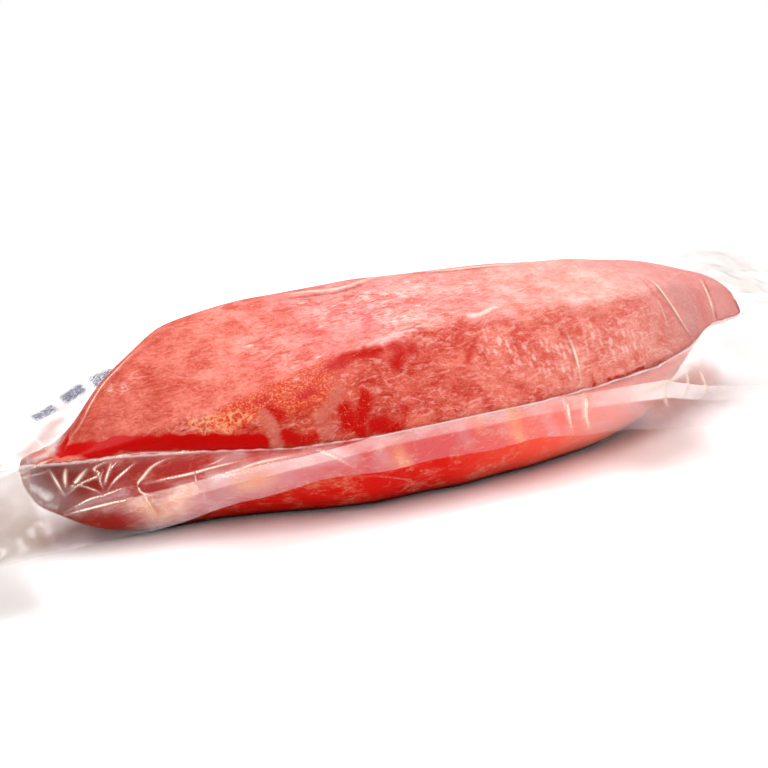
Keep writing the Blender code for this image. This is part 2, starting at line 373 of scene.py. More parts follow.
# Folds pressed into the film: each is (half width in mm, height in mm, the pixels that it runs
# through). The first are along the top and the ends, then the seam, the margin and the nose
folds = dict(spacing=2.0, reach=2.6, cellReach=0.0008, cuts=2, crestShape=1.6, paths=[
    (2.2, 1.2, [(262, 301), (284, 296), (305, 293), (330, 291), (348, 287), (362, 282), (380, 277),
                (400, 273)]),
    (1.6, 0.6, [(400, 273), (440, 271), (480, 267), (530, 263)]),
    (0.8, 0.7, [(168, 331), (150, 341), (132, 355), (117, 370), (103, 385), (91, 404), (81, 424),
                (70, 440), (64, 452)]),
    (1.6, 1.1, [(563, 325), (568, 337), (574, 352), (579, 372), (583, 392)]),
    (2.0, 1.3, [(632, 270), (645, 278), (656, 286), (670, 305), (684, 327), (699, 347)]),
    (2.0, 1.3, [(695, 274), (703, 287), (710, 304), (715, 327)]),
    (0.8, 0.6, [(652, 290), (660, 306), (666, 322), (670, 338)]),
    (0.7, 0.5, [(690, 296), (697, 312), (704, 330)]),
    (0.8, 0.5, [(655, 284), (668, 281), (682, 272), (690, 268)]),
    (1.0, 0.7, [(640, 393), (668, 382), (690, 368)]),
    (0.8, 0.6, [(668, 378), (664, 392), (668, 408)]),
    (0.8, 0.5, [(700, 372), (706, 388), (703, 402)]),
    (0.8, 0.6, [(612, 380), (640, 371), (668, 362), (696, 349)]),
    (1.5, 0.9, [(563, 396), (567, 405), (569, 418), (572, 434)]),
    (2.0, 1.0, [(583, 390), (586, 402), (586, 418), (590, 433)]),
    (0.6, 0.6, [(558, 430), (560, 441), (557, 449)]),
    (0.7, 0.7, [(684, 370), (688, 382), (682, 398)]),
    (0.7, 0.6, [(352, 476), (380, 476), (410, 480), (432, 486), (458, 491)]),
    (0.7, 0.7, [(310, 447), (325, 452), (340, 459), (356, 468)]),
    (0.6, 0.5, [(205, 519), (225, 520), (245, 519), (262, 517), (290, 514)]),
    (1.1, 0.9, [(48, 468), (56, 482), (65, 497)]),
    (1.0, 1.1, [(65, 497), (74, 489), (84, 483), (96, 478), (99, 474), (94, 470), (103, 464), (116, 460)]),
    (1.4, 0.8, [(66, 468), (65, 478), (66, 490)]),
    (1.7, 0.8, [(88, 468), (80, 478), (70, 490)]),
    (1.3, 1.2, [(178, 456), (164, 461), (152, 468), (144, 477), (138, 485), (140, 492), (150, 496),
                (168, 494)]),
    (1.2, 1.1, [(60, 516), (75, 513), (92, 509), (112, 504), (130, 499), (138, 487)]),
    (1.0, 0.8, [(62, 514), (76, 507), (90, 500), (104, 496), (120, 490), (138, 485)]),
    (0.8, 0.6, [(104, 496), (96, 491), (84, 487), (74, 485)]),
    (1.0, 0.7, [(106, 494), (114, 482), (126, 471), (138, 461)]),
    (1.3, 1.2, [(140, 485), (165, 480), (190, 475), (212, 469), (240, 462), (262, 456)]),
    (1.4, 1.0, [(205, 475), (222, 474), (240, 470), (258, 464), (285, 458), (310, 452)]),
    (1.0, 0.7, [(142, 492), (148, 502), (156, 514)]),
    (1.3, 0.6, [(112, 462), (108, 474), (104, 486)]),
    (0.8, 0.8, [(195, 474), (196, 482), (197, 486)]),
    (0.8, 0.6, [(20, 473), (34, 468), (48, 461), (58, 458)]),
    (0.6, 0.5, [(20, 478), (36, 475), (52, 470)]),
    (0.7, 0.7, [(68, 463), (90, 461), (115, 457), (140, 453), (175, 452), (215, 453), (262, 454)]),
    (0.9, 0.7, [(20, 425), (35, 438), (48, 452), (58, 462)]),
    (0.8, 0.6, [(104, 470), (100, 480), (104, 490)]),
    (0.7, 0.5, [(120, 459), (112, 468), (110, 476)]),
    (0.8, 0.6, [(232, 452), (218, 462), (200, 468)]),
])


def pixelPath(pixels, trees, spacing):  # where the line through those pixels lies on the pieces
    spots = []
    for i in range(len(pixels) - 1):
        before, a = Vector(pixels[max(i - 1, 0)]), Vector(pixels[i])
        b, after = Vector(pixels[i + 1]), Vector(pixels[min(i + 2, len(pixels) - 1)])
        steps = max(2, round((b - a).length / spacing))
        for k in range(steps):
            t = k / steps
            spots.append(0.5 * (2 * a + (b - before) * t + (2 * before - 5 * a + 4 * b - after) * t ** 2
                                + (3 * a - before - 3 * b + after) * t ** 3))
    spots.append(Vector(pixels[-1]))
    places = []
    for spot in spots:
        ray = pixelRay(*spot)
        found = [tree.ray_cast(eye, ray) for tree in trees]
        found = [f for f in found if f[0] is not None]
        if found:
            places.append(min(found, key=lambda f: f[3])[0])
    return places


foldPlaces = []
for halfWidth, height, pixels in folds["paths"]:
    places = pixelPath(pixels, (skinTree, marginTree), folds["spacing"])
    for i, place in enumerate(places):
        taper = math.sin(math.pi * (i + 0.5) / len(places)) ** 0.5
        foldPlaces.append((place, halfWidth * 0.001, height * 0.001 * taper, taper))
foldSearch = KDTree(len(foldPlaces))
for i, (place, halfWidth, height, taper) in enumerate(foldPlaces):
    foldSearch.insert(place, i)
foldSearch.balance()


def pressFolds(piece):  # finer cells along the folds, then the film raised there to a crest
    mesh = piece.data
    selectNothing()
    piece.select_set(True)
    bpy.context.view_layer.objects.active = piece
    bpy.ops.object.mode_set(mode="EDIT")
    bpy.ops.mesh.select_mode(type="FACE")
    bpy.ops.mesh.select_all(action="DESELECT")
    bpy.ops.object.mode_set(mode="OBJECT")
    for face in mesh.polygons:
        place, i, gap = foldSearch.find(face.center)
        face.select = gap < foldPlaces[i][1] * folds["reach"] + folds["cellReach"]
    bpy.ops.object.mode_set(mode="EDIT")
    bpy.ops.mesh.subdivide(number_cuts=folds["cuts"])
    bpy.ops.object.mode_set(mode="OBJECT")
    crests = []
    normals = [v.normal.copy() for v in mesh.vertices]
    for vertex, normal in zip(mesh.vertices, normals):
        place, i, gap = foldSearch.find(vertex.co)
        halfWidth, height, taper = foldPlaces[i][1:]
        near = gap < halfWidth * folds["reach"]
        crest = math.exp(-(gap / halfWidth) ** folds["crestShape"]) if near else 0.0
        crests.append(crest * taper)
        vertex.co += normal * height * crest
    setLayer(piece, "crest", crests)


pressFolds(filmSkin)
pressFolds(filmMargin)
setLayer(filmMargin, "out", [marginOut(v.co.x, v.co.y) - margin["fallIn"] * insideBy(v.co.x, v.co.y)
                             for v in filmMargin.data.vertices])
setLayer(filmMargin, "beyond", [pastEnd(v.co.x) for v in filmMargin.data.vertices])
setLayer(filmMargin, "fromEdge", [margin["width"] / 2 - abs(v.co.y) for v in filmMargin.data.vertices])
print("folds pressed:", len(filmSkin.data.polygons), "and", len(filmMargin.data.polygons), "faces")

# A printed field on the far margin: soft plain blocks, (x, y, length, width) in metres
printing = dict(lift=0.0004, thickness=0.0001, cells=(24, 14), fadeLong=0.22, fadeWide=0.3, blocks=[
    (-0.161, 0.062, 0.015, 0.019), (-0.144, 0.064, 0.015, 0.020), (-0.127, 0.065, 0.016, 0.020)])

madeBlocks = []
for x, y, length, width in printing["blocks"]:
    selectNothing()
    bpy.ops.mesh.primitive_grid_add(x_subdivisions=printing["cells"][0],
                                    y_subdivisions=printing["cells"][1], size=1)
    block = bpy.context.object
    fade = []
    for vertex in block.data.vertices:
        u, v = vertex.co.x, vertex.co.y
        fade.append(easeStep(0, printing["fadeLong"], 0.5 - abs(u))
                    * easeStep(0, printing["fadeWide"], 0.5 - abs(v)))
        placeX, placeY = x + u * length, y + v * width
        vertex.co = (placeX, placeY, filmHeight(placeX, placeY) + printing["lift"])
    setLayer(block, "fade", fade)
    applyModifier(block, "SOLIDIFY", thickness=printing["thickness"], offset=0)
    madeBlocks.append(block)
selectNothing()
for block in madeBlocks:
    block.select_set(True)
bpy.context.view_layer.objects.active = madeBlocks[0]
bpy.ops.object.join()
printedField = bpy.context.object
printedField.name = printedField.data.name = "printed_field"
print("printed field made")

# Zones, painted on a piece as attributes. A stroke is (radius in mm, strength, the pixels that it
# runs through); a zone's first number says how sharply it ends. Two seeded noises bend the strokes
strokes = dict(seed=3, bends=[(0.009, 0.0022), (0.003, 0.0009)], spacing=1.2, closest=1.6, widest=5.0)
fleshZones = dict(
    wetBand=(4.0, [
        (4.6, 1, [(88, 450), (105, 448), (125, 445), (175, 443), (225, 443), (258, 443)]),
        (4.0, 1, [(62, 452), (72, 450), (85, 450)]), (2.4, 0.9, [(64, 446), (68, 432)])]),
    oilVein=(2.0, [
        (4.2, 1, [(192, 424), (204, 421), (218, 422), (236, 418), (248, 421)]),
        (3, 0.8, [(200, 430), (215, 430), (230, 429)])]),
    orange=(2.0, [
        (8, 1, [(225, 420), (250, 408), (270, 398), (295, 385), (320, 372)]),
        (9, 0.8, [(290, 400), (305, 395), (320, 390)])]),
    deepRed=(2.0, [
        (4.5, 0.8, [(352, 356), (366, 352), (380, 350)]), (5, 0.8, [(394, 346), (402, 354), (396, 364)]),
        (4.5, 0.7, [(410, 345), (412, 352)]), (4.5, 0.8, [(330, 366), (346, 360)]),
        (2.6, 0.6, [(475, 335), (471, 348), (467, 362)]), (2.4, 0.6, [(515, 341), (520, 357)]),
        (5.5, 1, [(345, 408), (349, 424), (360, 431)]), (5, 0.9, [(366, 398), (362, 418)]),
        (5.5, 1, [(376, 424), (396, 428)]), (4, 0.7, [(406, 408), (402, 424)]),
        (4.5, 1, [(286, 437), (300, 440), (312, 437)]), (4.5, 1, [(272, 410), (281, 417)]),
        (3.4, 0.7, [(302, 396), (314, 390)]), (2.6, 0.7, [(258, 402), (268, 397)]),
        (2.0, 0.8, [(590, 376), (593, 385)]), (3.4, 0.6, [(561, 332), (568, 347), (574, 362)]),
        (4, 0.5, [(530, 352), (534, 366)]), (8, 0.35, [(570, 312), (600, 316)]),
        (1.9, 1, [(608, 381), (640, 371), (668, 361), (698, 347)]), (5, 0.5, [(500, 380), (520, 384)]),
        (1.3, 0.6, [(700, 276), (708, 288), (715, 305), (719, 324)]), (2, 0.5, [(640, 278), (652, 290)]),
        (3.4, 0.5, [(655, 296), (664, 305)]), (2.2, 0.7, [(735, 296), (739, 312)]),
        (3, 0.35, [(700, 300), (706, 320)]), (5, 0.35, [(680, 318), (690, 338)])]),
    stuckFilm=(2.0, [
        (5, 0.9, [(264, 414), (272, 430), (277, 448)]), (5, 0.5, [(258, 408), (266, 418)]),
        (6, 0.75, [(337, 388), (330, 402), (320, 418), (330, 430)]), (4, 0.5, [(415, 372), (430, 380)])]),
    frost=(1.8, [
        (10, 1, [(372, 300), (395, 294), (412, 288)]), (10, 1, [(385, 318), (402, 323), (418, 316)]),
        (8, 0.75, [(345, 298), (360, 318)]), (9, 0.5, [(305, 302), (330, 320)]),
        (9, 0.45, [(440, 292), (475, 288)]), (6, 0.3, [(500, 285), (520, 290)]),
        (3.4, 1, [(135, 377)]), (2.6, 0.9, [(124, 389), (110, 389)]),
        (12, 0.35, [(270, 350), (290, 360)]), (12, 0.35, [(420, 300), (440, 315)])]),
    pale=(2.0, [
        # Paler muscle; the thin strokes along the ridge (pixels 345 to 434 across) and along the lip over the
        # seam (620 to 694) are painted highlights
        (3.4, 0.5, [(345, 351), (362, 345)]), (2.8, 0.8, [(366, 343), (384, 338), (402, 332)]),
        (3, 0.6, [(414, 329), (434, 323)]),
        (2.6, 1.2, [(472, 315), (486, 311), (499, 307)]), (2, 0.9, [(570, 301), (592, 299)]),
        (6, 0.35, [(300, 370), (320, 360), (342, 351)]), (2.4, 0.5, [(602, 297), (625, 293), (652, 288)]),
        (2.6, 0.45, [(620, 370), (650, 359), (680, 346), (694, 338)]),
        (8, 0.5, [(570, 275), (610, 272), (640, 278)]), (8, 0.3, [(450, 285), (520, 275)]),
        (6, 0.5, [(240, 342), (262, 352), (290, 356)]), (5, 0.4, [(195, 315), (225, 308)]),
        (9, 0.35, [(285, 330), (320, 335)])]),
    rose=(2.0, [
        (6, 1, [(358, 308), (368, 324)]), (9, 0.5, [(230, 360), (262, 366)]),
        (5, 0.6, [(480, 300), (470, 295)]), (8, 0.5, [(135, 352), (150, 345)])]),
    ovals=(3.0, [
        (11, 1, [(500, 345), (520, 350), (545, 355), (562, 360)]),
        (11, 0.9, [(590, 340), (615, 345), (635, 345)])]),
)
skinZones = dict(
    # Haze and highlights: the film's whitish haze; the small strong strokes on the nose, near pixels 32 to 56
    # across, are painted highlights
    hazeAndHighlight=(2.0, [
        (9, 0.58, [(28, 470), (34, 488), (50, 502)]), (3.2, 1.9, [(32, 487), (40, 491), (47, 496)]),
        (2.6, 0.9, [(40, 501), (56, 506)]),
        (3.2, 1.0, [(28, 463), (40, 457), (50, 450), (56, 440)]),
        (9, 0.22, [(660, 285), (685, 300), (690, 325)]), (9, 0.15, [(715, 290), (725, 312)])]),
)
marginZones = dict(
    # Haze and highlights: the film's whitish haze, with painted highlights in the strongest strokes along the
    # web beside the seam, between pixels 215 and 345 across
    hazeAndHighlight=(2.0, [
        (3.4, 0.12, [(70, 467), (105, 463), (145, 458), (190, 456)]),
        (5, 1, [(268, 462), (300, 458), (335, 452)]), (4, 0.8, [(222, 460), (240, 457)]),
        (2.6, 0.25, [(352, 448), (400, 438), (450, 427), (510, 414)]),
        (5, 0.9, [(215, 476), (250, 468), (285, 462)]), (8, 0.4, [(225, 490), (255, 482), (285, 474)]),
        (4, 0.5, [(80, 508), (100, 501), (124, 494)]), (4, 0.4, [(180, 488), (200, 482)]),
        (5, 0.7, [(290, 466), (320, 462), (345, 458)]), (3, 0.5, [(378, 452), (386, 462)]),
        (3, 0.4, [(460, 428), (468, 442)]), (4, 0.5, [(545, 415), (552, 432)]),
        (10, 0.75, [(640, 400), (670, 392), (700, 375)]), (9, 0.5, [(610, 400), (640, 385)]),
        (5, 0.5, [(672, 375), (676, 398)]), (3, 0.3, [(528, 405), (560, 400), (620, 385), (660, 372)])]),
    # Painted red light: pink where the flesh's red light would shine through the film, at the right end and
    # by the left outline
    paintedRedBounce=(2.0, [
        (11, 1, [(655, 398), (682, 388), (706, 372)]), (9, 1.3, [(28, 452), (44, 438), (54, 424)]),
        (7, 0.9, [(62, 408), (70, 396)])]),
    bare=(3.0, [
        (13, 1, [(40, 505), (70, 518), (100, 522), (114, 520)]), (11, 1, [(60, 488), (95, 480)])]),
    sparkle=(2.0, [
        (6, 1, [(140, 508), (158, 512), (176, 500)]), (5, 0.7, [(175, 498), (190, 492)]),
        (6, 0.7, [(245, 484), (262, 478)]), (4.5, 1, [(398, 452), (404, 464)]),
        (4.5, 1, [(514, 414), (518, 436)]), (3, 0.6, [(476, 422), (480, 430)])]),
)


def paintZones(piece, tree, zones):
    places = []
    for vertex in piece.data.vertices:
        place = vertex.co.copy()
        for size, depth in strokes["bends"]:
            place += noise.noise_vector(vertex.co / size) * depth
        places.append(place)
    places = np.array(places)
    for name, (sharpness, lines) in zones.items():
        values = np.zeros(len(places))
        for radius, strength, pixels in lines:
            if len(pixels) == 1:
                pixels = pixels * 2
            spacing = min(max(radius * strokes["spacing"], strokes["closest"]), strokes["widest"])
            for spot in pixelPath(pixels, (tree,), spacing):
                gap = np.linalg.norm(places - np.array(spot), axis=1) / (radius * 0.001)
                values = np.maximum(values, strength * np.exp(-gap ** sharpness))
        setLayer(piece, name, values)


noise.seed_set(strokes["seed"])
paintZones(flesh, fleshTree, fleshZones)
paintZones(filmSkin, skinTree, skinZones)
paintZones(filmMargin, marginTree, marginZones)

# The flesh's sides: where each ends, by place round the fillet or by share along it
sideEnds = dict(blurDepth=0.30, blurSize=0.010, flank=(4.75, 5.1), lower=(2.75, 3.0), lowerBlur=0.3,
                smoothStart=(0.80, 0.88), smoothSlant=0.02, nose=(0.03, 0.10), noseTop=(2.9, 3.15),
                noseBlur=0.2)
sides = dict(flank=[], lower=[], endSmooth=[], nose=[])
for vertex, place in zip(flesh.data.vertices, getLayer(flesh, "around")):
    share = shareOf(vertex.co.x)
    blur = sideEnds["blurDepth"] * noise.noise(vertex.co / sideEnds["blurSize"])
    slant = sideEnds["smoothSlant"] * (place - 4)
    sides["flank"].append(1 - easeStep(*sideEnds["flank"], place + blur))
    sides["lower"].append(1 - easeStep(*sideEnds["lower"], place + blur * sideEnds["lowerBlur"]))
    sides["endSmooth"].append(easeStep(*sideEnds["smoothStart"], share + slant))
    sides["nose"].append((1 - easeStep(*sideEnds["nose"], share))
                         * (1 - easeStep(*sideEnds["noseTop"], place + blur * sideEnds["noseBlur"])))
for name, values in sides.items():
    setLayer(flesh, name, values)
applyModifier(filmMargin, "SOLIDIFY", thickness=margin["thickness"], offset=0)
print("zones painted")


def mixOver(tree, base, top, mask):  # the top colour laid over the base where the mask says
    return addNode(tree, "ShaderNodeMix", {0: mask, 6: base, 7: top}, data_type="RGBA").outputs[2]


def between(tree, value, low, high, outLow=0.0, outHigh=1.0):  # a value eased from one range to another
    node = addNode(tree, "ShaderNodeMapRange", {"Value": value, 1: low, 2: high, 3: outLow, 4: outHigh},
                   interpolation_type="SMOOTHSTEP")
    return node.outputs[0]


def combine(tree, operation, a, b, clamped=False):
    return addNode(tree, "ShaderNodeMath", {0: a, 1: b}, operation=operation, use_clamp=clamped).outputs[0]


def times(tree, a, b):
    return combine(tree, "MULTIPLY", a, b)


def plus(tree, a, b, clamped=False):
    return combine(tree, "ADD", a, b, clamped)


def offFrom(tree, value, middle):  # how far a value lies from the middle, either way
    return combine(tree, "ABSOLUTE", combine(tree, "SUBTRACT", value, middle), 0.0)


def layerOf(tree, name):
    return addNode(tree, "ShaderNodeAttribute", attribute_name=name).outputs["Fac"]


def axisOf(tree, place, axis):
    return addNode(tree, "ShaderNodeSeparateXYZ", {0: place}).outputs[axis]


def noiseOf(tree, place, scale, detail=2.0, roughness=0.5, distortion=0.0):
    inputs = {"Vector": place, "Scale": scale, "Detail": detail, "Roughness": roughness,
              "Distortion": distortion}
    return addNode(tree, "ShaderNodeTexNoise", inputs).outputs["Fac"]


def slanted(tree, place, slant):  # the coordinates turned, then stretched
    inputs = {"Vector": place, "Rotation": slant[0], "Scale": slant[1]}
    return addNode(tree, "ShaderNodeMapping", inputs).outputs[0]


def cellsOf(tree, place, slant, size, randomness):
    inputs = {"Vector": slanted(tree, place, slant), "Scale": 1 / size, "Randomness": randomness}
    return addNode(tree, "ShaderNodeTexVoronoi", inputs, feature="F1")


def startMaterial(name, sockets):
    material = bpy.data.materials.new(name)
    material.use_nodes = True
    tree = material.node_tree
    shader = tree.nodes["Principled BSDF"]
    for socket, value in sockets.items():
        shader.inputs[socket].default_value = value
    return material, tree, shader, addNode(tree, "ShaderNodeTexCoord").outputs["Object"]


def addBump(tree, shader, look, height):
    inputs = {"Strength": look["bump"], "Distance": look["bumpDepth"], "Height": height}
    bump = addNode(tree, "ShaderNodeBump", inputs)
    tree.links.new(bump.outputs[0], shader.inputs["Normal"])


# Raw tuna, frozen and thawed under film: pink muscle with fine pale fibres and frost specks, orange
# and redder on the flank and deep red below; wet, so soft highlights, and light sinks a few mm in.
# A slant is a turn and a stretch. A zone is where its edge starts and ends, how ragged, how strong
tunaMuscle = dict(
    top=((0.0, "983325"), (0.14, "9f3323"), (0.27, "b74a3d"), (0.42, "be5049"), (0.535, "c05952"),
         (0.78, "c98275"), (0.92, "c46e68"), (1.0, "ab5b54")),
    topPale=((0.0, "b95746"), (0.14, "c46151"), (0.27, "d68476"), (0.42, "dc8e89"), (0.535, "dd9891"),
             (0.78, "dfada3"), (0.92, "db9b94"), (1.0, "cc8b82")),
    flank=((0.0, "9b291b"), (0.3, "9a1d0e"), (0.42, "9d2113"), (0.576, "b0392d"), (0.7, "b84d40"),
           (0.845, "bd5d54"), (1.0, "a85651")),
    flankPale=((0.0, "bd6052"), (0.3, "bd543f"), (0.42, "c2594b"), (0.576, "cd7163"), (0.7, "cf7e71"),
               (0.845, "cf8a7f"), (1.0, "bd7870")),
    lower=((0.0, "7c1c14"), (0.16, "a81c0f"), (0.3, "cc0f05"), (0.5, "d6160b"), (0.66, "fb5b45"),
           (0.76, "fb9381"), (0.9, "f4a89c"), (1.0, "de9488")),
    lowerPale=((0.0, "ae6052"), (0.3, "d66e52"), (0.6, "e28a72"), (0.75, "eaa89a"), (1.0, "e0aca0")),
    wet="a60200", vein="d8946a", orange="b02a12", orangePale="cf6a48", deep="a60905", stuck="b15d4f",
    # the last colour on the next line is painted shade where the flesh meets the table
    frost="e3cac1", pale="e3bdb3", rose="c74f59", smooth="cb827d", nose="782519", paintedFootShade="180201",
    mottleSize=0.014, fibreSize=0.0032, grainSize=0.0011, fleckSize=0.0028, ovalSize=0.0029,
    threadScale=260.0, strandScale=105.0, veinScale=120.0, bump=0.4, bumpDepth=0.0006,
    fibreSlant=((0.0, 0.6, 0.5), (0.45, 1.0, 1.0)), ovalSlant=((0.0, -0.12, 0.0), (1.0, 0.5, 0.42)),
    fleckSlant=((0.0, 0.35, -0.5), (0.42, 1.0, 1.0)),
    zones=dict(orange=(0.5, 1.1, 0.7, 1.0), rose=(0.6, 1.3, 0.7, 0.6), deepRed=(0.66, 1.25, 0.9, 1.0),
               stuckFilm=(0.7, 1.1, 0.7, 0.7), wetBand=(0.56, 1.08, 0.95, 1.0),
               pale=(0.62, 1.5, 0.7, 0.95)),
    sockets={"Roughness": 0.45, "Specular IOR Level": 0.03, "IOR": 1.4, "Subsurface Weight": 0.1,
             "Subsurface Scale": 0.003, "Coat Weight": 0.05, "Coat Roughness": 0.2, "Coat IOR": 1.5})


def alongRamp(tree, share, stops):  # a colour that changes along the fillet
    ramp = addNode(tree, "ShaderNodeValToRGB", {0: share})
    band = ramp.color_ramp
    while len(band.elements) < len(stops):
        band.elements.new(0.5)
    for element, (position, colour) in zip(band.elements, stops):
        element.position = position
        element.color = linear(colour)
    return ramp.outputs[0]


def darkToPale(tree, share, name, mask):  # a ramp and its paler one, mixed
    dark, pale = (alongRamp(tree, share, tunaMuscle[ramp]) for ramp in (name, name + "Pale"))
    return mixOver(tree, dark, pale, mask)


def zoneMask(tree, name, fibre):  # a painted zone whose edge is broken up by the flesh's own fibre
    low, high, ragged, strength = tunaMuscle["zones"][name]
    broken = plus(tree, layerOf(tree, name), times(tree, fibre, ragged))
    return times(tree, between(tree, broken, low, high), strength)


def makeFleshMaterial():
    look = tunaMuscle
    material, tree, shader, place = startMaterial("raw_tuna_muscle", look["sockets"])
    share = addNode(tree, "ShaderNodeMapRange", {"Value": axisOf(tree, place, 0), 1: placeOf(0),
                                                 2: placeOf(1)}).outputs[0]
    alongFibre = slanted(tree, place, look["fibreSlant"])
    mottle = noiseOf(tree, place, 1 / look["mottleSize"], 5.0, 0.62)
    fibre = noiseOf(tree, alongFibre, 1 / look["fibreSize"], 6.0, 0.7, 1.4)
    grain = noiseOf(tree, place, 1 / look["grainSize"], 2.0, 0.6)
    flank, frost = layerOf(tree, "flank"), layerOf(tree, "frost")

    # Top and flank: darker muscle and paler, mixed by the mottle, the fibre and the grain
    paleness = plus(tree, times(tree, between(tree, mottle, 0.36, 0.64), 0.58),
                    times(tree, between(tree, fibre, 0.38, 0.64), 0.5))
    paleness = plus(tree, paleness, times(tree, combine(tree, "SUBTRACT", grain, 0.5), 0.9), True)
    top, side = (darkToPale(tree, share, name, paleness) for name in ("top", "flank"))
    colour = mixOver(tree, top, side, flank)

    # Underside: deep red with pale fat
    fat = between(tree, plus(tree, times(tree, mottle, 0.5), times(tree, fibre, 0.6)), 0.53, 0.70)
    fat = times(tree, fat, between(tree, grain, 0.35, 0.6, 0.35, 1.0))
    lower = darkToPale(tree, share, "lower", fat)

    # Thin wandering threads, strands and the oil vein lie where a warped noise crosses its middle
    warped = noiseOf(tree, alongFibre, look["threadScale"], distortion=2.6)
    thread = between(tree, offFrom(tree, warped, 0.5), 0.022, 0.0)
    thread = times(tree, thread, between(tree, grain, 0.45, 0.6))
    thread = times(tree, thread, between(tree, mottle, 0.42, 0.56))
    strands = noiseOf(tree, alongFibre, look["strandScale"], 3.0, distortion=1.8)
    strand = between(tree, offFrom(tree, strands, 0.52), 0.06, 0.005)
    strand = times(tree, strand, between(tree, fibre, 0.40, 0.60, 0.0, 0.2))
    strand = times(tree, strand, plus(tree, 0.3, flank))
    veinNoise = noiseOf(tree, place, look["veinScale"], distortion=2.6)
    vein = between(tree, offFrom(tree, veinNoise, 0.5), 0.09, 0.01)
    vein = times(tree, vein, between(tree, mottle, 0.38, 0.55, 0.2, 0.75))
    vein = times(tree, vein, between(tree, layerOf(tree, "oilVein"), 0.25, 0.8))

    orangeShades = [linear(look[name]) for name in ("orange", "orangePale")]
    orange = mixOver(tree, *orangeShades, between(tree, grain, 0.46, 0.66))
    orangeMask = times(tree, zoneMask(tree, "orange", fibre), between(tree, fibre, 0.42, 0.6, 0.95, 0.6))

    # Pale ovals stand in columns across the fillet, where the muscle's blocks meet the film
    cells = cellsOf(tree, place, look["ovalSlant"], look["ovalSize"], 0.75)
    ovals = times(tree, layerOf(tree, "ovals"), between(tree, mottle, 0.34, 0.54))
    ovals = times(tree, between(tree, cells.outputs["Distance"], 0.5, 0.2), ovals)

    # Frost flecks: short slanted slivers of ice between the muscle and the film, with rime round them
    flecks = cellsOf(tree, place, look["fleckSlant"], look["fleckSize"], 1.0)
    chance = addNode(tree, "ShaderNodeSeparateColor", {0: flecks.outputs["Color"]}).outputs[0]
    kept = between(tree, plus(tree, chance, times(tree, frost, 0.75)), 0.95, 1.1)
    sparse = times(tree, between(tree, flecks.outputs["Distance"], 0.42, 0.15, 0.0, 0.6), kept)
    onTop = combine(tree, "SUBTRACT", 1.0, times(tree, flank, 0.6))
    rime = times(tree, frost, between(tree, fibre, 0.42, 0.62))

    # Painted shade: the flesh is darkened towards the table, standing in for the shadow where it meets the
    # floor
    footShadeHeight = plus(tree, axisOf(tree, place, 2), times(tree, fibre, -0.003))

    for shade, mask in (  # laid one over the other
            ("pale", strand), (orange, orangeMask), ("smooth", times(tree, layerOf(tree, "endSmooth"), 0.55)),
            ("rose", zoneMask(tree, "rose", fibre)), ("deep", zoneMask(tree, "deepRed", fibre)),
            ("stuck", zoneMask(tree, "stuckFilm", fibre)),
            ("vein", times(tree, thread, times(tree, flank, 0.6))),
            ("wet", zoneMask(tree, "wetBand", fibre)), ("vein", vein), ("pale", times(tree, ovals, 0.5)),
            ("pale", zoneMask(tree, "pale", fibre)), ("pale", times(tree, rime, 0.55)),
            ("frost", times(tree, sparse, onTop)), (lower, layerOf(tree, "lower")),
            ("nose", times(tree, layerOf(tree, "nose"), 0.85)),
            # painted shade: the two darkenings next, strongest where the flesh meets the table
            ("paintedFootShade", between(tree, footShadeHeight, 0.012, 0.0, 0.0, 0.4)),
            ("paintedFootShade", between(tree, footShadeHeight, 0.0035, 0.0005, 0.0, 0.9))):
        colour = mixOver(tree, colour, linear(look[shade]) if isinstance(shade, str) else shade, mask)
    tree.links.new(colour, shader.inputs["Base Color"])
    addBump(tree, shader, look, plus(tree, fibre, times(tree, sparse, 0.6)))
    return material


# Clear nylon and polythene bag film, cast, then heat sealed at the margin: colourless and glossy, with
# a white haze where two layers are sealed together, and where it is seen edge on or creased, partly
# its own haze and partly painted sheen and highlight. Its pink and warm grey tints are painted light,
# standing in for the flesh's red light and for shade seen through the film
bagFilm = dict(
    clear="ecdcda", cream="ecc896", haze=0.002, edgeHazeAndSheen=0.7, edgePower=8.0, haloHazeAndHighlight=0.08,
    crestHazeAndHighlight=0.62, skinHazeAndHighlight=0.5, sealed="c4aeb2", sealWidth=0.0178, sealEdge=0.0004,
    stripWidth=0.0065, stripEdge=0.0008, webHaze=0.012, sealHaze=0.085, stripHaze=0.12, hazeAndHighlightAmount=0.24,
    patchHaze=0.05, seamHazeAndHighlight=0.28, looseLeft=0.36, looseRight=0.24, loose="92786b", paintedRedBounce="bc8074",
    paintedRedBounceHaze=0.33, fadeWidth=0.007, sparkleSize=0.0005, sparkleHaze=0.2, sparkleLight="f2cba4",
    sparkleDark="cc8466", patchScale=62.0, wrinkleScale=130.0, bump=0.3, bumpDepth=0.0006,
    sockets={"Roughness": 0.12, "IOR": 1.5})


# The skin's colour and veil include painted sheen at its edges and painted highlights on its crests and the
# nose
def skinHazeAndSheen(tree, place, edge, crest, crestHazeAndHighlight):  # the skin's colour and how much it veils
    look = bagFilm
    # creased film is painted cream along each crest, partly a painted highlight
    colour = mixOver(tree, linear(look["clear"]), linear(look["cream"]), times(tree, crest, 0.6))
    hazeAndHighlight = times(tree, layerOf(tree, "hazeAndHighlight"), look["skinHazeAndHighlight"])
    haze = plus(tree, plus(tree, edge, look["haze"]), hazeAndHighlight)
    return colour, combine(tree, "MAXIMUM", haze, crestHazeAndHighlight, True)
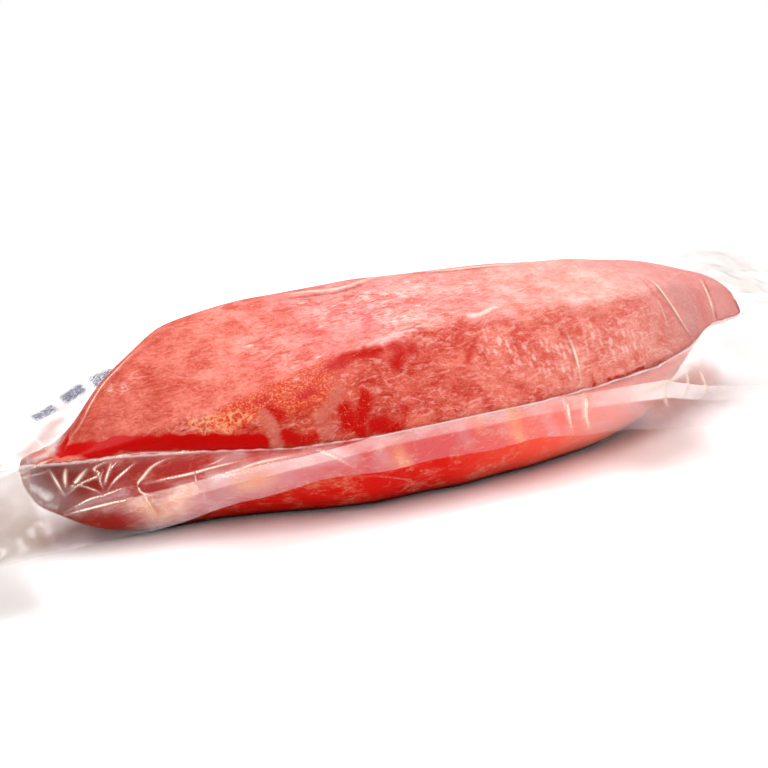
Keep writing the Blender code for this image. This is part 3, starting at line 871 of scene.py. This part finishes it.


# The margin's colour and veil include painted sheen, painted highlights along the seam and web, and painted
# red light
def marginHazeAndSheen(tree, place, edge, crest, crestHazeAndHighlight):  # the same for the margin and the loose film
    look = bagFilm
    inward, sparkle, paintedRedBounce = (layerOf(tree, name) for name in ("fromEdge", "sparkle", "paintedRedBounce"))
    beyond = between(tree, layerOf(tree, "beyond"), 0.0, 0.15)
    sealed = between(tree, inward, look["sealWidth"] + look["sealEdge"], look["sealWidth"])
    stripStart = look["sealWidth"] - look["stripWidth"]
    strip = times(tree, sealed, between(tree, inward, stripStart - look["stripEdge"], stripStart))
    # A light line where the film leaves the fillet: partly the film turning there, partly a painted highlight
    seamLine = between(tree, offFrom(tree, layerOf(tree, "out"), 0.02), 0.05, 0.0)
    grain = noiseOf(tree, place, 1 / look["sparkleSize"], 1.0)
    patches = noiseOf(tree, place, look["patchScale"], 1.0)
    patch = between(tree, patches, 0.42, 0.62, 0.0, look["patchHaze"])

    haze = plus(tree, look["webHaze"], times(tree, sealed, look["sealHaze"] - look["webHaze"]))
    haze = plus(tree, haze, times(tree, strip, look["stripHaze"] - look["sealHaze"]))
    haze = plus(tree, haze, times(tree, sealed, patch))
    haze = times(tree, haze, combine(tree, "SUBTRACT", 1.0, layerOf(tree, "bare")))
    glints = times(tree, between(tree, grain, 0.42, 0.62), sparkle)
    for mask, amount in ((layerOf(tree, "hazeAndHighlight"), "hazeAndHighlightAmount"), (glints, "sparkleHaze"),
                         (paintedRedBounce, "paintedRedBounceHaze"), (seamLine, "seamHazeAndHighlight")):
        haze = plus(tree, haze, times(tree, mask, look[amount]))
    haze = plus(tree, haze, edge)
    loose = between(tree, axisOf(tree, place, 0), -0.1, 0.1, look["looseLeft"], look["looseRight"])
    loose = times(tree, loose, between(tree, patches, 0.35, 0.62, 0.82, 1.12))
    loose = times(tree, loose, between(tree, inward, 0.0, look["fadeWidth"], 0.15, 1.0))
    loose = plus(tree, edge, loose)
    haze = addNode(tree, "ShaderNodeMix", {0: beyond, 2: haze, 3: loose}, data_type="FLOAT").outputs[0]

    beside = times(tree, strip, combine(tree, "SUBTRACT", 1.0, beyond))
    clear = combine(tree, "MAXIMUM", combine(tree, "MAXIMUM", beside, seamLine), crest)
    darkGrain = times(tree, between(tree, grain, 0.55, 0.4), sparkle)
    # Painted light: the red-bounce tint, the pink of the sealed band and the warm grey of the loose film
    # stand in for the flesh's red light and for shade
    colour = linear(look["sealed"])
    for shade, mask in (("loose", beyond), ("paintedRedBounce", paintedRedBounce), ("clear", clear),
                        ("cream", times(tree, crest, 0.5)), ("sparkleLight", sparkle),
                        ("sparkleDark", times(tree, darkGrain, 0.6))):
        colour = mixOver(tree, colour, linear(look[shade]), mask)
    return colour, combine(tree, "MAXIMUM", haze, crestHazeAndHighlight, True)


def makeFilmMaterial(name, colourAndHaze):
    look = bagFilm
    material, tree, shader, place = startMaterial(name, look["sockets"])
    wrinkle = noiseOf(tree, place, look["wrinkleScale"], 4.0)
    facing = addNode(tree, "ShaderNodeLayerWeight", {"Blend": 0.5}).outputs["Facing"]
    # Painted sheen: a white haze where the film is seen edge on, partly its own haze and partly standing in
    # for its reflection
    edge = times(tree, combine(tree, "POWER", facing, look["edgePower"]), look["edgeHazeAndSheen"])
    crest = layerOf(tree, "crest")
    # Painted highlight: each fold's crest is whitened, partly the real whitening of creased film and partly
    # standing in for its glint
    crestHazeAndHighlight = plus(tree, between(tree, crest, 0.05, 0.6, 0.0, look["haloHazeAndHighlight"]),
                     between(tree, crest, 0.5, 0.95, 0.0, look["crestHazeAndHighlight"]))
    crestHazeAndHighlight = times(tree, crestHazeAndHighlight, between(tree, wrinkle, 0.36, 0.52, 0.7, 1.0))
    colour, haze = colourAndHaze(tree, place, edge, crest, crestHazeAndHighlight)
    tree.links.new(colour, shader.inputs["Base Color"])
    tree.links.new(haze, shader.inputs["Alpha"])
    addBump(tree, shader, look, wrinkle)
    return material


# Flexo print on film: thin blue-grey ink, matt, soft at its edges and a little see-through
inkLook = dict(colour="6c7086", alpha=0.75, breakUp=0.0016, roughness=0.5)


def makeInkMaterial():
    sockets = {"Base Color": linear(inkLook["colour"]), "Roughness": inkLook["roughness"]}
    material, tree, shader, place = startMaterial("blue_grey_flexo_ink", sockets)
    patchy = between(tree, noiseOf(tree, place, 1 / inkLook["breakUp"]), 0.30, 0.62, 0.35, 1.0)
    cover = times(tree, patchy, inkLook["alpha"])
    tree.links.new(times(tree, cover, layerOf(tree, "fade")), shader.inputs["Alpha"])
    return material


looks = ((flesh, makeFleshMaterial()), (filmSkin, makeFilmMaterial("tight_bag_film", skinHazeAndSheen)),
         (filmMargin, makeFilmMaterial("heat_sealed_bag_film", marginHazeAndSheen)),
         (printedField, makeInkMaterial()))
for piece, material in looks:
    piece.data.materials.clear()
    piece.data.materials.append(material)
    selectNothing()
    piece.select_set(True)
    bpy.context.view_layer.objects.active = piece
    bpy.ops.object.shade_smooth_by_angle(angle=math.radians(60))
    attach(piece, "root")
    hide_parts("tuna_fillet_pack")
print("materials made")

# Floor and light: a white table under a large overhead softbox in a pale room, dim in reflections
studio = dict(floorSize=1.5, floor="fbfaf9", floorSockets={"Roughness": 0.9, "Specular IOR Level": 0.1},
              worldSeen=1.0, worldLight=0.14, worldInGloss=0.05, aim=(0, 0, 0.04),
              lamps=[("softbox", (-0.3, -0.18, 3.0), 2.0, 159), ("front_fill", (-0.55, -1.8, 0.5), 0.9, 5)])

selectNothing()
bpy.ops.mesh.primitive_plane_add(size=studio["floorSize"])
floor = bpy.context.object
floor.name = "floor"
floorSockets = {"Base Color": linear(studio["floor"]), **studio["floorSockets"]}
floor.data.materials.append(startMaterial("white_table", floorSockets)[0])
for name, location, size, power in studio["lamps"]:
    aim = (Vector(studio["aim"]) - Vector(location)).to_track_quat("-Z", "Y").to_euler()
    bpy.ops.object.light_add(type="AREA", location=location, rotation=aim)
    lamp = bpy.context.object
    lamp.name = name
    lamp.data.size = size
    lamp.data.energy = power

world = bpy.data.worlds.new("studio")
bpy.context.scene.world = world
world.use_nodes = True
worldTree = world.node_tree
lightPath = addNode(worldTree, "ShaderNodeLightPath")
inGloss = addNode(worldTree, "ShaderNodeMapRange", {"Value": lightPath.outputs["Is Glossy Ray"],
                                                    3: studio["worldLight"], 4: studio["worldInGloss"]})
strength = addNode(worldTree, "ShaderNodeMix", {0: lightPath.outputs["Is Camera Ray"], 2: inGloss.outputs[0],
                                                3: studio["worldSeen"]}, data_type="FLOAT")
worldTree.links.new(strength.outputs[0], worldTree.nodes["Background"].inputs["Strength"])
worldTree.nodes["Background"].inputs["Color"].default_value = (1, 1, 1, 1)
bpy.context.scene.view_settings.view_transform = "Standard"
print("studio made")
